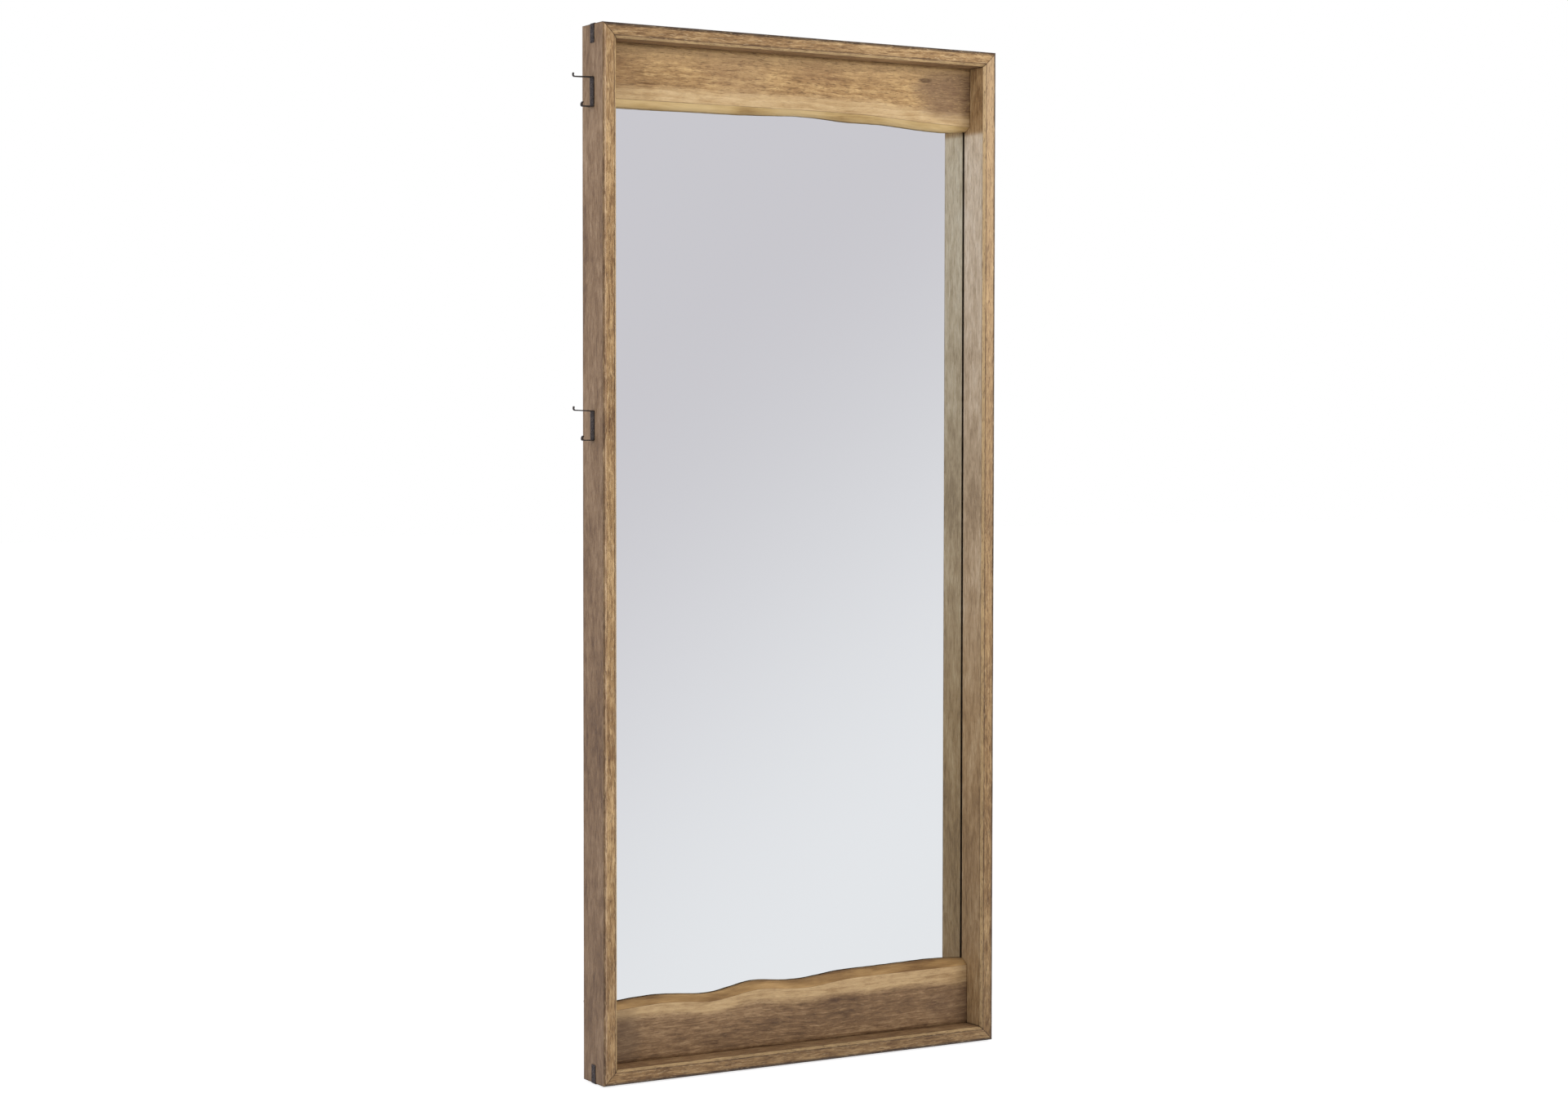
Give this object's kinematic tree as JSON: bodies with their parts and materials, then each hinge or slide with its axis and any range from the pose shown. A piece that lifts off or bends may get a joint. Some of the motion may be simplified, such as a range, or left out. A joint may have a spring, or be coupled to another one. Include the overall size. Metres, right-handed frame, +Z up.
{
  "type": "floor mirror",
  "caption": "Tall leaning floor mirror in a deep mitred wood shadow-box frame with live-edge boards, iron side hooks and pivoting back hanging rings.",
  "frame": {"origin": "on the floor, at the underside of the middle floor pad, under the middle of the wood frame's width and depth", "axes": "+X to the viewer's right, +Y from the front to the back, +Z up"},
  "size_m": [0.9463, 0.097, 2.0368],
  "materials": {
    "frame_wood": "wire-brushed, dark glaze in the grain, dull wax",
    "board_wood": "brushed, pale sapwood at the live edge, dull wax",
    "joinery_wood": "bare beech",
    "bead_wood": "planed, unfinished",
    "backing": "hardboard, smooth",
    "mirror": "silvered float glass",
    "iron": "blackened, hammered",
    "dark_screws": "black oxide",
    "steel": "zinc plated",
    "rubber": "matte"
  },
  "bodies": {
    "frame": {"stile_left": "frame_wood", "stile_right": "frame_wood", "rail_top": "frame_wood", "rail_bottom": "frame_wood", "board_top": "board_wood", "board_bottom": "board_wood", "board_dowels": "joinery_wood", "mitre_biscuits": "joinery_wood", "bead_left": "bead_wood", "bead_right": "bead_wood", "bead_top": "bead_wood", "bead_bottom": "bead_wood", "back_panel": "backing", "mirror_glass": "mirror", "strap_top_left": "iron", "strap_top_right": "iron", "strap_bottom_left": "iron", "strap_bottom_right": "iron", "hook_upper": "iron", "hook_lower": "iron", "strap_screws": "dark_screws", "hook_screws": "dark_screws", "hanger_left": "steel", "hanger_right": "steel", "hanger_screws": "steel", "bead_screws": "steel", "bumper_screws": "steel", "wall_bumpers": "rubber", "floor_pads": "rubber", "setting_blocks": "rubber"},
    "ring_left": {"ring_left": "steel"},
    "ring_right": {"ring_right": "steel"}
  },
  "joints": [
    {"name": "ring_left_swing", "type": "hinge", "parent": "frame", "child": "ring_left", "pos_m": [-0.4372, 0.04795, 1.753], "axis": [1, 0, 0], "range_deg": [0, 180]},
    {"name": "ring_right_swing", "type": "hinge", "parent": "frame", "child": "ring_right", "pos_m": [0.4372, 0.04795, 1.753], "axis": [1, 0, 0], "range_deg": [0, 180]}
  ]
}
